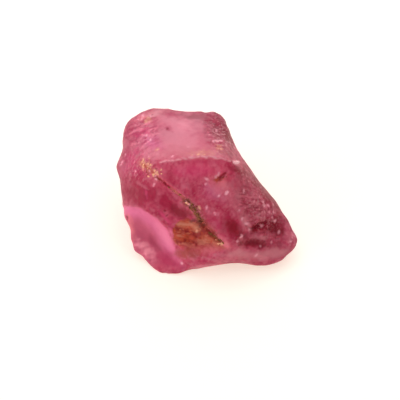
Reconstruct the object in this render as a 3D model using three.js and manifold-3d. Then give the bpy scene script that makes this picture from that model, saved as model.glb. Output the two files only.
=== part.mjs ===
// A rough piece of rhodolite garnet: one solid, broken on every side, standing on a flat break.
// Millimetres, +Z up, the origin under the middle of the stone on the surface that it stands on.
import * as THREE from "three";
import { ConvexGeometry } from "three/addons/geometries/ConvexGeometry.js";
import { mergeVertices } from "three/addons/utils/BufferGeometryUtils.js";
import Module from "manifold-3d";

const wasm = await Module();
wasm.setup();

// Driving dimensions.
const MIDDLE = new THREE.Vector3(-0.4, -0.82, 3.0); // inside the stone: its places are given from here
const SHOW_FACE = [0, 50]; // azimuth and elevation that the show face looks towards, in degrees
const FAR = 30; // well outside the stone

// Corners are given on the show face: across, up and out towards the viewer, from MIDDLE.
// The rim is its outline, clockwise from the top left.
const RIM = [
  [-3.71, 4.69, -2.2], // top left shoulder
  [-2.95, 4.97, -2.4],
  [-2.07, 4.97, -2.5], // top
  [0.89, 4.76, -2.6],
  [1.36, 4.37, -2.4], // right shoulder
  [1.65, 3.78, -2.2],
  [4.86, -1.27, -0.5], // above the tip
  [5.31, -2.19, -0.45],
  [5.6, -2.77, -0.35], // tip
  [5.56, -3.17, -0.25],
  [5.12, -3.56, 0.0], // lip
  [4.6, -3.94, 0.1],
  [3.79, -4.22, 0.2],
  [2.98, -4.25, 0.3],
  [-0.8, -4.55, 0.4], // foot
  [-1.6, -4.7, 0.35],
  [-2.29, -4.59, 0.3],
  [-2.93, -4.25, 0.2], // low left
  [-3.68, -3.56, 0.0],
  [-4.03, -2.65, -0.2], // left edge
  [-4.27, -1.73, -0.3],
  [-4.75, 1.16, -0.8], // left point
  [-4.79, 1.69, -1.0],
  [-4.51, 3.46, -1.7], // left shoulder
  [-4.28, 4.11, -1.9],
];

// Where the large faces of the front meet: the ledge across the top, the slab under it, the right
// end and the lower left.
const FRONT = [
  [-3.4, 1.75, 1.05],
  [-2.3, 1.67, 1.55], // ledge, from the left
  [-0.86, 1.95, 1.78],
  [0.3, 2.02, 1.85],
  [1.57, 1.85, 1.65],
  [2.15, 1.5, 1.3],
  [-0.5, -1.1, 1.95], // slab
  [1.5, -2.6, 1.85],
  [2.5, -0.6, 1.55],
  [3.6, -2.3, 1.1], // right end
  [4.7, -2.9, 0.45],
  [3.1, -3.6, 1.05], // lip
  [0.9, -3.75, 1.3], // foot
  [-1.4, -4.0, 1.0],
  [-3.0, -1.4, 1.1], // lower left
];

// The flat break that it stands on, and the corners that bulge out behind and at the sides: x and y
// from MIDDLE, and the height above the surface.
const BASE = [
  [-2.15, -3.35, 0],
  [-0.75, -3.5, 0],
  [1.65, -2.85, 0],
  [3.35, -2.45, 0],
  [4.05, -1.45, 0],
  [3.45, 0.95, 0],
  [1.55, 3.35, 0],
  [-0.55, 3.95, 0],
  [-2.65, 3.45, 0],
  [-3.65, 1.65, 0],
  [-3.75, -0.75, 0],
  [-3.25, -2.35, 0],
];
const BEHIND = [
  [-4.4, 2.85, 1.7],
  [-3.25, 4.65, 2.2],
  [-0.85, 5.15, 1.9],
  [1.35, 4.55, 1.5],
  [3.05, 2.25, 1.1],
  [4.55, -1.05, 0.7],
  [-4.4, 0.05, 1.2],
];

// The central slab stands proud of the lower left face along a crack, which runs down to the right.
// Its corners are across and up, where its wall passes a given height out; the floor that it stands
// on is a point of the lower left face and the way that it faces.
const CRACK = [
  [-3.3, 1.9],
  [-2.0, 0.45],
  [-1.6, 0.2],
  [-0.85, -0.45],
  [0.0, -1.6],
  [0.6, -2.2],
  [1.4, -2.85],
  [2.1, -3.5],
  [2.8, -4.6],
];
const CRACK_HEIGHT = 1.7;
const CRACK_LEAN = [0.25, 0.25]; // how far its wall leans back over the slab for each mm out
const CRACK_FLOOR = { at: [-3.16, 1.67, 1.45], facing: [-0.25, -0.23, 1] };

// Shell-shaped breaks. Each is seen from an azimuth and elevation, at a place across and up in that
// view, with its half sizes across and up, how deep it bites, and its turn in the view in degrees.
// Bites are taken out of an edge, along the sight line.
const BITES = [
  { name: "foot kink", view: [309, -28], at: [0.3, -0.06], reach: [0.5, 0.5], depth: 0.16, turn: 0 },
  { name: "scoop", view: SHOW_FACE, at: [-3.4, -3.3], reach: [2.9, 1.45], depth: 0.5, turn: -43 },
  { name: "right edge", view: [116, 20], at: [1.2, -1.12], reach: [2.4, 0.9], depth: 0.34, turn: 19 },
  { name: "arch", view: [0, -40], at: [1.6, 0.35], reach: [1.9, 0.8], depth: 0.35, turn: 0 },
  { name: "top dip", view: [180, 40], at: [0.6, -2.55], reach: [1.0, 0.6], depth: 0.12, turn: 0 },
  { name: "left notch", view: [270, 0], at: [-2.8, 0.55], reach: [0.8, 0.8], depth: 0.12, turn: 0 },
  { name: "low notch", view: [270, 0], at: [1.45, -1.54], reach: [0.4, 0.5], depth: 0.14, turn: 0 },
];
// Hollows are pressed square into the face that the sight line meets.
const HOLLOWS = [
  { name: "stain bed", view: SHOW_FACE, at: [-0.35, -2.75], reach: [1.4, 0.8], depth: 0.12, turn: -20 },
  { name: "trough", view: SHOW_FACE, at: [3.7, -2.2], reach: [1.1, 0.45], depth: 0.16, turn: -22 },
  { name: "pit, left", view: SHOW_FACE, at: [3.0, -1.85], reach: [0.4, 0.25], depth: 0.14, turn: 10 },
  { name: "pit, low", view: SHOW_FACE, at: [2.85, -2.9], reach: [0.45, 0.28], depth: 0.15, turn: -30 },
  { name: "pit, right", view: SHOW_FACE, at: [4.3, -2.5], reach: [0.3, 0.4], depth: 0.12, turn: 20 },
  { name: "slit", view: SHOW_FACE, at: [1.13, 0.83], reach: [0.4, 0.1], depth: 0.12, turn: 30 },
  { name: "upper face", view: SHOW_FACE, at: [-1.0, 3.2], reach: [2.1, 2.0], depth: 0.16, turn: 0 },
  { name: "upper right", view: SHOW_FACE, at: [1.15, 3.6], reach: [0.6, 1.3], depth: 0.12, turn: 0 },
  { name: "left shoulder", view: SHOW_FACE, at: [-3.9, 2.3], reach: [0.7, 1.5], depth: 0.12, turn: 10 },
  { name: "right face", view: [70, 20], at: [0.9, 0.2], reach: [2.2, 1.1], depth: 0.16, turn: 35 },
  { name: "right side", view: [116, -8], at: [1.0, -1.7], reach: [2.6, 1.1], depth: 0.36, turn: 12 },
  { name: "back", view: [185, 0], at: [1.3, -1.25], reach: [2.5, 1.3], depth: 0.36, turn: 6 },
  { name: "left side", view: [272, -8], at: [0.4, -1.35], reach: [2.4, 1.3], depth: 0.3, turn: -10 },
];

// The frame of a view: across, up and out towards the viewer. Azimuth 0 looks along +Y.
function viewFrame([azimuth, elevation]) {
  const turn = THREE.MathUtils.degToRad(azimuth);
  const tilt = THREE.MathUtils.degToRad(elevation);
  const across = new THREE.Vector3(Math.cos(turn), Math.sin(turn), 0);
  const out = new THREE.Vector3(
    Math.sin(turn) * Math.cos(tilt),
    -Math.cos(turn) * Math.cos(tilt),
    Math.sin(tilt),
  );
  return { across, up: new THREE.Vector3().crossVectors(out, across), out };
}

const FACE = viewFrame(SHOW_FACE);

function along({ across, up, out }, [x, y, z = 0]) {
  return new THREE.Vector3()
    .addScaledVector(across, x)
    .addScaledVector(up, y)
    .addScaledVector(out, z);
}

function placeOnFace(at) {
  return along(FACE, at).add(MIDDLE);
}

// A closed three.js geometry, moved by a matrix, as a solid that can be joined and cut.
function solidFrom(geometry, matrix = new THREE.Matrix4()) {
  const closed = geometry.clone().applyMatrix4(matrix);
  closed.deleteAttribute("normal");
  closed.deleteAttribute("uv");
  const merged = mergeVertices(closed, 1e-4);
  return new wasm.Manifold(
    new wasm.Mesh({
      numProp: 3,
      vertProperties: merged.getAttribute("position").array,
      triVerts: new Uint32Array(merged.getIndex().array),
    }),
  );
}

function geometryFrom(solid) {
  const { vertProperties, triVerts } = solid.getMesh();
  const geometry = new THREE.BufferGeometry();
  geometry.setAttribute("position", new THREE.BufferAttribute(vertProperties, 3));
  geometry.setIndex(new THREE.BufferAttribute(triVerts, 1));
  geometry.computeVertexNormals();
  return geometry;
}

// The whole stone before its hollows: flat faces between all of its corners.
function rawStone() {
  const corners = [
    ...[...RIM, ...FRONT].map(placeOnFace),
    ...[...BASE, ...BEHIND].map(([x, y, z]) => new THREE.Vector3(MIDDLE.x + x, MIDDLE.y + y, z)),
  ];
  return solidFrom(new ConvexGeometry(corners));
}

// Everything beyond the plane through a point of the show face, with that outward direction.
function beyond({ at, facing }) {
  const block = new THREE.BoxGeometry(FAR, FAR, FAR);
  const normal = along(FACE, facing).normalize();
  const turn = new THREE.Quaternion().setFromUnitVectors(new THREE.Vector3(0, 0, 1), normal);
  const centre = placeOnFace(at).addScaledVector(normal, FAR / 2);
  return solidFrom(block, new THREE.Matrix4().compose(centre, turn, new THREE.Vector3(1, 1, 1)));
}

// What lies over the lower left face, as far as the crack.
function crackStep() {
  const outline = new THREE.Shape([
    ...CRACK.map(([across, up]) => new THREE.Vector2(across, up)),
    new THREE.Vector2(CRACK.at(-1)[0], -FAR / 2),
    new THREE.Vector2(-FAR / 2, -FAR / 2),
    new THREE.Vector2(-FAR / 2, CRACK[0][1]),
  ]);
  const prism = new THREE.ExtrudeGeometry(outline, { depth: FAR, bevelEnabled: false });
  prism.translate(0, 0, -FAR / 2);
  const wall = along(FACE, [...CRACK_LEAN, 1]);
  const placed = new THREE.Matrix4()
    .makeBasis(FACE.across, FACE.up, wall)
    .setPosition(placeOnFace([0, 0, CRACK_HEIGHT]));
  return solidFrom(prism, placed).intersect(beyond(CRACK_FLOOR));
}

// Where a sight line of the view first meets the stone, and the face that it meets.
function seenOn(stone, frame, at) {
  const start = along(frame, [...at, FAR]).add(MIDDLE);
  const ray = new THREE.Raycaster(start, frame.out.clone().negate());
  return ray.intersectObject(new THREE.Mesh(geometryFrom(stone)))[0];
}

// The bottom quarter of a ball's radius, pressed flat and spread to its half sizes, goes into the
// stone along the sight line, or square to the face.
function shell(stone, { view, at, reach, depth, turn }, isSquare) {
  const frame = viewFrame(view);
  const seen = seenOn(stone, frame, at);
  const out = isSquare ? seen.face.normal : frame.out;
  const across = new THREE.Vector3().crossVectors(frame.up, out).normalize();
  const up = new THREE.Vector3().crossVectors(out, across);
  const radius = 4 * depth;
  const spread = 1 / Math.sqrt(1 - 0.75 ** 2); // the ball's width to that of its bottom quarter
  const ball = new THREE.IcosahedronGeometry(1, Math.round(4 + 2 * Math.max(...reach)));
  const placed = new THREE.Matrix4()
    .makeBasis(across, up, out)
    .setPosition(seen.point.addScaledVector(out, radius - depth))
    .multiply(new THREE.Matrix4().makeRotationZ(THREE.MathUtils.degToRad(turn)))
    .multiply(new THREE.Matrix4().makeScale(reach[0] * spread, reach[1] * spread, radius));
  return solidFrom(ball, placed);
}

function carveStone() {
  let stone = rawStone().subtract(crackStep());
  for (const bite of BITES) stone = stone.subtract(shell(stone, bite, false));
  for (const hollow of HOLLOWS) stone = stone.subtract(shell(stone, hollow, true));
  return stone;
}

const garnet = new THREE.Mesh(
  geometryFrom(carveStone()),
  new THREE.MeshStandardMaterial({ color: 0xb5345e, roughness: 0.35, metalness: 0 }),
);
garnet.name = "garnet";

const stone = new THREE.Group();
stone.add(garnet);

export default stone;
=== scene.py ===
"""The look of a rough piece of rhodolite garnet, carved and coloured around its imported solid."""
import math
import random
from collections import namedtuple

import bmesh
import bpy
import numpy as np
from mathutils import Matrix, Vector, noise
from mathutils.bvhtree import BVHTree


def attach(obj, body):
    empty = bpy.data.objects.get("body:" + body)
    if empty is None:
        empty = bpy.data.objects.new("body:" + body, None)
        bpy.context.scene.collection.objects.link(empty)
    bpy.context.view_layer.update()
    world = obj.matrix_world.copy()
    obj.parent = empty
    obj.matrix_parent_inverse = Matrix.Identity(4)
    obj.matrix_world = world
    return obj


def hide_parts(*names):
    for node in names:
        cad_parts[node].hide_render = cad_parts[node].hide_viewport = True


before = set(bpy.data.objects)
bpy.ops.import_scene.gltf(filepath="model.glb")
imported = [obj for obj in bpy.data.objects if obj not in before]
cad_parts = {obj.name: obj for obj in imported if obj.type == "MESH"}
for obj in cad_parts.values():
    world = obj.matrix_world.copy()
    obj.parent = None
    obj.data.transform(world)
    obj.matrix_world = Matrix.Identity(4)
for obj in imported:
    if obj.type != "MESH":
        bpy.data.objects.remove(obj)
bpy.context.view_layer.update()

# The noise that tilts small breaks has a seed of its own, which the clock sets otherwise.
TILT_SEED = 7
noise.seed_set(TILT_SEED)

# Shapes are worked out in millimetres and turned into metres at the end.
MM = 0.001

# The show face: places on it are across, up and out towards the viewer, in mm from MIDDLE.
MIDDLE = np.array([-0.4, -0.82, 3.0])
ELEVATION = math.radians(50)
ACROSS = np.array([1.0, 0.0, 0.0])
UP = np.array([0.0, math.sin(ELEVATION), math.cos(ELEVATION)])
OUT = np.array([0.0, -math.cos(ELEVATION), math.sin(ELEVATION)])

# The picture's frame: 23 mm wide at the middle of the stone.
LENS = 150
SENSOR = 36
FRAME_WIDTH = 23.0
CAMERA_DISTANCE = FRAME_WIDTH * LENS / SENSOR
AIM_BELOW_MIDDLE = 0.46

SQUARE = 0.058  # the side of the mesh's squares
WEAR = 25  # how many times all edges are rubbed, and how many more where the stone is worn round
SOFT_WEAR = 160
WEAR_SHARES = (0.6, -0.4)  # a rub's step towards the neighbours' mean, and its step back
SOFT_SHARE = 0.5  # a softening step's share of the way to that mean
SOFT_FADE = 0.4  # the height over which the softening fades in above the flat base
BASE_EDGE = 0.02  # the height below which relief doesn't move the surface, and that of its fading in
BASE_FADE = 0.2
# The show face's relief and paint fade out where a surface leans back, until its normal lies this
# far behind the face.
FRONT_FADE = 0.4

# Noise: the size of its lumps in mm, how many layers it has, each finer, and where it starts.
Noise = namedtuple("Noise", "size layers seed")
# Small flat breaks: their size, and where they start.
Breaks = namedtuple("Breaks", "size seed")
# Noise drawn out in streaks: their length and width, their turn in degrees, and where it starts.
Streaks = namedtuple("Streaks", "size turn seed")
LAYER_FINENESS = 2.0  # how much finer each layer of noise is than the last
LAYER_FADE = 1.0  # how fast the layers weaken, as a power of their fineness
SOFT_LAYERS = 2  # layers in ragged edges, flecks and mottling
ROUGH_LAYERS = 3  # layers in rough ground, pits and streaks
EDGE_NOISE_REACH = 1.3  # about the most that the noise of a ragged edge comes to
# How far apart two seeds lie in the noise, and in the breaks.
NOISE_STEP = (7.3, 3.1, 5.7)
BREAK_STEP = (4.9, 6.7, 2.3)
TILT_SPREAD = 3.7  # spreads out the middles of the breaks in the noise that tilts them

# A feature of the show face: an oval about a place (across, up), with half sizes along and beside
# a turn in degrees, all in mm. It fades in over part of its half size, and noise with lumps of a
# size makes its edge ragged.
Oval = namedtuple("Oval", "at reach turn fade ragged size", defaults=(0, 1))
# What an oval does to the surface: raises it by a height, or roughens it by noise of that height
# with lumps of the oval's size.
Bump = namedtuple("Bump", "height oval")
# What an oval does to the colour: turns it to a look by some share.
Patch = namedtuple("Patch", "look share oval")

# What an oval does to the stone's outline: moves it level across and up the picture, in mm.
Push = namedtuple("Push", "across up oval")
PUSHES = [
    Push(-0.07, -0.06, Oval((2.3, 2.2), (1.3, 0.8), 110, 1)),
    Push(-0.05, -0.04, Oval((3.4, 0.7), (0.7, 1.5), 35, 1)),
    Push(0.05, 0.02, Oval((1.7, 3.7), (0.5, 0.5), 0, 1)),
    Push(0.12, 0.16, Oval((1.1, 4.5), (0.9, 0.8), 0, 1)),
    Push(0, 0.08, Oval((0.7, 4.7), (0.5, 0.5), 0, 1)),
    Push(0, 0.17, Oval((-2.6, 4.8), (1.1, 0.8), 0, 1)),
    Push(0, 0.06, Oval((-3.0, 4.8), (0.6, 0.5), 0, 1)),
    Push(-0.13, 0.11, Oval((-4.3, 3.9), (0.9, 0.9), 0, 1)),
    Push(-0.05, 0.05, Oval((-3.9, 4.3), (0.6, 0.6), 0, 1)),
    Push(-0.03, 0.02, Oval((-3.6, 4.5), (0.8, 0.7), 30, 1)),
    Push(-0.04, 0, Oval((-4.5, 3.1), (0.6, 0.8), 0, 1)),
    Push(0.03, 0, Oval((-4.5, 2.65), (0.5, 0.35), 0, 1)),
    Push(-0.18, 0, Oval((-4.8, 1.6), (0.8, 1.0), 0, 1)),
    Push(-0.16, -0.05, Oval((-4.35, -1.3), (1.1, 1.1), 0, 1)),
    Push(-0.32, -0.14, Oval((-4.0, -2.9), (1.0, 0.9), 0, 1)),
    Push(-0.18, -0.17, Oval((-3.8, -3.5), (0.6, 0.6), 0, 1)),
    Push(-0.06, 0, Oval((-4.1, -2.2), (0.5, 0.7), 0, 1)),
    Push(-0.08, -0.08, Oval((-3.1, -4.2), (0.7, 0.6), 0, 1)),
    Push(-0.13, -0.17, Oval((-2.7, -4.5), (0.8, 0.6), 0, 1)),
    Push(-0.04, -0.2, Oval((-2.0, -4.7), (1.3, 1.0), 0, 1)),
    Push(0, 0.12, Oval((-0.7, -4.4), (0.7, 0.6), 0, 1)),
    Push(0, 0.06, Oval((2.0, -4.2), (1.4, 0.6), 0, 1)),
    Push(0.08, -0.12, Oval((4.2, -4.0), (1.2, 1.0), 30, 1)),
    Push(0.24, 0, Oval((5.5, -2.8), (1.0, 1.1), 10, 1)),
    Push(0.12, -0.12, Oval((5.2, -3.5), (0.9, 0.8), 0, 1)),
    Push(0.04, -0.06, Oval((4.7, -3.9), (0.6, 0.6), 0, 1)),
    Push(0.09, 0.03, Oval((5.1, -1.7), (0.8, 0.7), 0, 1)),
    Push(0.04, 0.02, Oval((4.4, -0.6), (0.7, 0.7), 0, 1)),
]
WORN = [
    Oval((-3.7, 1.2), (1.7, 4.2), 0, 0.5),
    Oval((-3.4, 1.9), (1.2, 1.1), 0, 0.5),
    Oval((-3.6, 3.6), (1.3, 1.4), 0, 0.6),
    Oval((2.9, -0.4), (3.4, 1.5), -60, 0.5),
    Oval((3.9, -3.1), (2.2, 1.2), 10, 0.5),
    Oval((-4.1, 4.1), (0.9, 0.9), 0, 0.6),
    Oval((-2.7, 4.8), (0.9, 0.9), 0, 0.6),
    Oval((0.9, 4.6), (0.8, 0.8), 0, 0.6),
    Oval((5.2, -3.2), (1.1, 1.1), 0, 0.6),
    Oval((-3.6, -3.7), (1.4, 1.0), -45, 0.6),
    Oval((-2.6, -4.5), (1.1, 0.8), 0, 0.6),
]
# Rough ground, with lumps and small breaks.
ROUGH = [
    Bump(0.08, Oval((3.4, -1.5), (2.3, 1.35), -50, 0.5, 0, 0.6)),
    Bump(0.06, Oval((3.3, -2.3), (1.7, 0.9), -15, 0.5, 0, 0.3)),
    Bump(0.03, Oval((0.95, 3.6), (0.9, 1.6), 10, 0.6, 0, 0.35)),
    Bump(0.025, Oval((-3.3, 3.4), (1.3, 1.5), 0, 0.6, 0, 0.4)),
    Bump(0.035, Oval((-3.6, 1.6), (1.3, 1.4), 0, 0.6, 0, 0.3)),
    Bump(0.04, Oval((-3.0, 1.5), (0.9, 0.5), -30, 0.6, 0, 0.2)),
    Bump(0.03, Oval((-0.3, -2.7), (1.5, 0.8), -20, 0.4, 0, 0.3)),
    Bump(0.03, Oval((1.6, 2.3), (1.0, 0.6), -20, 0.5, 0, 0.3)),
]
# Steep little pits, by depth.
PITTED = [
    Bump(-0.05, Oval((3.3, -1.2), (1.8, 1.1), -50, 0.4, 0, 0.3)),
    Bump(-0.05, Oval((3.2, -2.6), (1.7, 0.7), -10, 0.3, 0, 0.35)),
    Bump(-0.04, Oval((0.9, 3.5), (0.8, 1.5), 10, 0.3, 0, 0.35)),
    Bump(-0.02, Oval((-3.3, 3.6), (1.1, 1.1), 0, 0.4, 0, 0.35)),
    Bump(-0.04, Oval((-3.4, 1.7), (1.3, 1.0), 0, 0.4, 0, 0.25)),
]
# Single dents and swellings.
DENTS = [
    Bump(-0.28, Oval((3.5, -1.95), (0.6, 0.32), 25, 0.7)),
    Bump(-0.12, Oval((3.0, -2.1), (0.4, 0.22), 0, 0.7)),
    Bump(-0.18, Oval((4.3, -2.3), (0.5, 0.3), -40, 0.8)),
    Bump(-0.14, Oval((2.95, -2.95), (0.75, 0.3), -5, 0.7)),
    Bump(0.06, Oval((2.2, -2.75), (0.3, 0.3), 0, 1)),
    Bump(0.06, Oval((3.6, -2.5), (0.5, 0.25), 0, 1)),
    Bump(-0.08, Oval((1.2, 0.86), (0.42, 0.2), 30, 1)),
    Bump(0.05, Oval((2.1, 1.7), (0.28, 0.12), 10, 0.8)),
    Bump(-0.05, Oval((-3.0, -2.6), (0.5, 1.3), 38, 1)),
    Bump(0.05, Oval((-3.3, -3.2), (0.35, 0.8), 40, 1)),
]
# Lines on the show face: ledges stand up and cracks go in.
LEDGE = [
    (-2.3, 1.69),
    (-1.36, 1.82),
    (-0.73, 1.88),
    (-0.34, 1.99),
    (0.23, 1.99),
    (0.85, 1.93),
    (1.36, 1.85),
    (1.75, 1.72),
    (2.0, 1.7),
]
CRACK = [
    (-3.35, 1.65),
    (-2.95, 1.33),
    (-2.5, 0.87),
    (-2.04, 0.5),
    (-1.64, 0.21),
    (-1.2, -0.13),
    (-0.72, -0.53),
    (-0.4, -0.92),
    (-0.08, -1.3),
    (0.1, -1.7),
    (0.32, -2.05),
    (0.62, -2.37),
    (0.93, -2.65),
    (1.25, -2.9),
    (1.6, -3.2),
]
SCOOP_EDGE = [
    (-4.6, -0.72),
    (-3.74, -0.75),
    (-3.28, -0.88),
    (-2.92, -1.12),
    (-2.58, -1.37),
    (-2.14, -1.76),
    (-1.86, -2.01),
    (-1.74, -2.3),
    (-1.59, -2.66),
    (-1.48, -2.97),
    (-1.31, -3.32),
    (-1.1, -3.8),
]
STAIN_EDGE = [
    (-1.44, -1.84),
    (-1.1, -1.61),
    (-0.66, -1.55),
    (0.17, -1.75),
    (0.46, -2.05),
    (1.38, -3.08),
    (1.38, -3.28),
    (0.83, -3.45),
    (0.17, -3.5),
    (-0.49, -3.4),
    (-1.04, -3.28),
    (-1.38, -3.05),
    (-1.55, -2.65),
    (-1.61, -2.3),
    (-1.44, -1.84),
]
Line = namedtuple("Line", "points width height shift")
LINES = [
    Line(LEDGE, 0.07, 0.03, (0, 0)),
    Line(CRACK[2:-1], 0.07, -0.1, (0, 0)),
    Line(CRACK[:-2], 0.08, 0.025, (0.12, 0.12)),
    Line(SCOOP_EDGE, 0.1, 0.03, (0, 0)),
    Line(SCOOP_EDGE, 0.3, -0.05, (-0.3, -0.3)),
]
LINE_WANDER = 0.08  # how far the lines stray, across and up
WANDERS = [Noise(0.3, 2, 60), Noise(0.3, 2, 61)]
# Fine lines across the right end.
STRIAE = Bump(0.03, Oval((2.9, -0.6), (1.5, 0.9), -60, 0.6))
STRIA_LINES = Streaks((0.7, 0.14), -8, 70)
# Streaks of colour at the upper left, and how sharply streaks stand out.
BRUSHED = Oval((-3.2, 3.4), (1.6, 1.6), 0, 0.8)
BRUSH_LINES = Streaks((0.45, 0.17), 25, 73)
STREAK_CONTRAST = 2

# Relief all over, and larger breaks away from the show face.
SWELLINGS = Noise(2.4, 2, 1)
SWELLING_HEIGHT = 0.05
LUMPS = Noise(0.7, 3, 2)
LUMP_HEIGHT = 0.012
BREAKS = Breaks(0.5, 3)
BREAK_HEIGHT = 0.006
BACK_BREAKS = Breaks(1.3, 4)
BACK_BREAK_HEIGHT = 0.04
ROUGH_SEED = 10
BREAK_SHARE = 0.5  # how high the breaks of rough ground stand, against its lumps
PIT_SEED = 80
PIT_START = 0.12  # the height in the noise at which a pit starts, and its steep edge
PIT_EDGE = 0.2
FINE_GRAIN = 2.5  # lumps in a mm of the finest relief, and its height in mm
FINE_RELIEF = 0.03

# Looks: a colour that the stone lends to what is seen through it, and how milky it is.
BODY = (0.86, 0.1, 0.215, 0.35)
ROSE = (0.98, 0.33, 0.44, 0.55)
CORAL = (0.8, 0.2, 0.27, 0.5)
SALMON = (1.0, 0.25, 0.3, 0.75)
PINK = (1.0, 0.3, 0.39, 1.0)
# Painted light and shade for the scoop: a lit band, a half-lit one, its dimmer parts and a darker band
# of painted shade.
SCOOP_LIT = (0.92, 0.23, 0.38, 1.0)
SCOOP_MID = (0.88, 0.19, 0.36, 0.85)
SCOOP_DIM = (0.75, 0.14, 0.24, 0.7)
SHADE = (0.5, 0.06, 0.13, 0.6)
LILAC = (0.95, 0.22, 0.45, 0.5)
MAGENTA = (1.0, 0.09, 0.29, 0.45)
BERRY = (0.68, 0.045, 0.15, 0.5)
MAUVE = (0.4, 0.06, 0.09, 0.55)
PLUM = (0.55, 0.008, 0.07, 0.4)
GARNET = (0.32, 0.004, 0.02, 0.4)
# dark crimson painted into the hollows as shade
HOLLOW_SHADE = (0.25, 0.002, 0.014, 0.4)
TERRA = (0.5, 0.09, 0.08, 0.6)
FROST = (0.8, 0.27, 0.32, 0.7)
PALE = (1.0, 0.5, 0.54, 1.0)
GLINT = (1.0, 0.42, 0.5, 1.0)
GOLD = (1.0, 0.5, 0.32, 0.9)
SAND = (0.85, 0.36, 0.22, 0.65)
RUST = (0.53, 0.074, 0.024, 0.72)
BRICK = (0.26, 0.012, 0.01, 0.8)
BROWN = (0.13, 0.025, 0.012, 0.8)
DRAB = (0.26, 0.07, 0.025, 0.85)
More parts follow.
